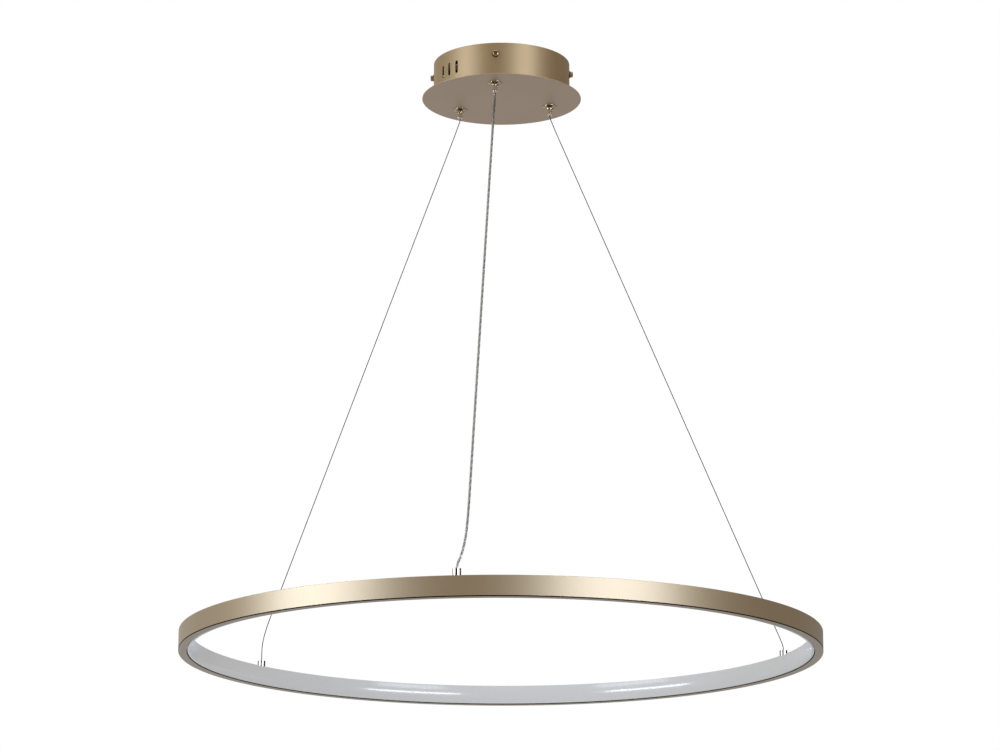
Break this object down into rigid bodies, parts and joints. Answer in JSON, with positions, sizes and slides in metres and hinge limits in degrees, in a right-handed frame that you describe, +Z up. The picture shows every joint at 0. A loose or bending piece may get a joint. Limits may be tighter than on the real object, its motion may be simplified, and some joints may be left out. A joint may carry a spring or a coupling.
{
  "type": "led ring chandelier",
  "caption": "Ring pendant lamp: a light channel with an inward diffuser hangs on thin wires and a clear cable from a round canopy with ball grippers",
  "frame": {"origin": "middle of the ceiling bracket's top face, where the lamp meets the ceiling", "axes": "+Z up, out of the ceiling face; -Y is the front of the lamp, where the power cable hangs; +X is to the right of someone who faces the front"},
  "size_m": [0.8, 0.7999, 0.7755],
  "materials": {
    "ring_gold": "satin champagne gold over aluminium",
    "cup_gold": "satin champagne gold over steel",
    "plate_gold": "fine matt champagne gold over steel",
    "opal_diffuser": "opal white, glossy",
    "polished_gold": "polished, pale gold plated",
    "plated_steel": "bright zinc plated",
    "spring_steel": "bright",
    "wire_steel": "stranded, bright",
    "clear_cable": "clear jacket over two tinned cores",
    "strip_white": "white flexible board",
    "phosphor": "yellow phosphor",
    "driver_white": "moulded white",
    "board_green": "green board",
    "socket_green": "moulded green",
    "transformer_yellow": "taped winding",
    "capacitor_sleeve": "dark sleeve",
    "ferrite": "ferrite core",
    "foam_grey": "closed-cell foam",
    "nylon_white": "natural nylon",
    "lead_black": "insulated lead",
    "lead_earth": "green and yellow insulation",
    "earth_brass": "plain brass"
  },
  "bodies": {
    "canopy": {"block_screws": "plated_steel", "cable_tail": "clear_cable", "canopy_cup": "cup_gold", "canopy_plate": "plate_gold", "ceiling_bracket": "plated_steel", "driver_board": "board_green", "driver_capacitors": "capacitor_sleeve", "driver_choke": "ferrite", "driver_lid": "driver_white", "driver_pad": "foam_grey", "driver_terminals": "socket_green", "driver_transformer": "transformer_yellow", "driver_tray": "driver_white", "earth_lead": "lead_earth", "earth_lug": "plated_steel", "earth_screw": "earth_brass", "gripper_caps": "plated_steel", "gripper_housings": "polished_gold", "gripper_locknuts": "plated_steel", "gripper_spring_front": "spring_steel", "gripper_spring_left": "spring_steel", "gripper_spring_right": "spring_steel", "mains_leads": "lead_black", "power_cable": "clear_cable", "side_screws": "polished_gold", "terminal_block": "nylon_white", "wire_left": "wire_steel", "wire_right": "wire_steel", "wire_tails": "wire_steel"},
    "ring": {"ring_profile": "ring_gold", "diffuser": "opal_diffuser", "led_strip": "strip_white", "led_chips": "phosphor", "ring_anchors": "polished_gold", "anchor_nuts": "plated_steel", "wire_stops": "plated_steel", "cable_stop": "plated_steel", "feed_leads": "lead_black"},
    "plunger_front": {"gripper_plunger_front": "polished_gold", "gripper_balls_front": "spring_steel"},
    "plunger_left": {"gripper_plunger_left": "polished_gold", "gripper_balls_left": "spring_steel"},
    "plunger_right": {"gripper_plunger_right": "polished_gold", "gripper_balls_right": "spring_steel"}
  },
  "joints": [
    {"name": "ring_height", "type": "slide", "parent": "canopy", "child": "ring", "axis": [0, 0, 1], "range_m": [0, 0.3], "deforming": ["wire_left", "wire_right", "power_cable"]},
    {"name": "release_front", "type": "slide", "parent": "canopy", "child": "plunger_front", "axis": [0, 0, 1], "range_m": [0, 0.002], "stiffness_N_per_m": 800, "springref_m": -0.002, "deforming": ["gripper_spring_front"]},
    {"name": "release_left", "type": "slide", "parent": "canopy", "child": "plunger_left", "axis": [0, 0, 1], "range_m": [0, 0.002], "stiffness_N_per_m": 800, "springref_m": -0.002, "deforming": ["gripper_spring_left"]},
    {"name": "release_right", "type": "slide", "parent": "canopy", "child": "plunger_right", "axis": [0, 0, 1], "range_m": [0, 0.002], "stiffness_N_per_m": 800, "springref_m": -0.002, "deforming": ["gripper_spring_right"]}
  ]
}
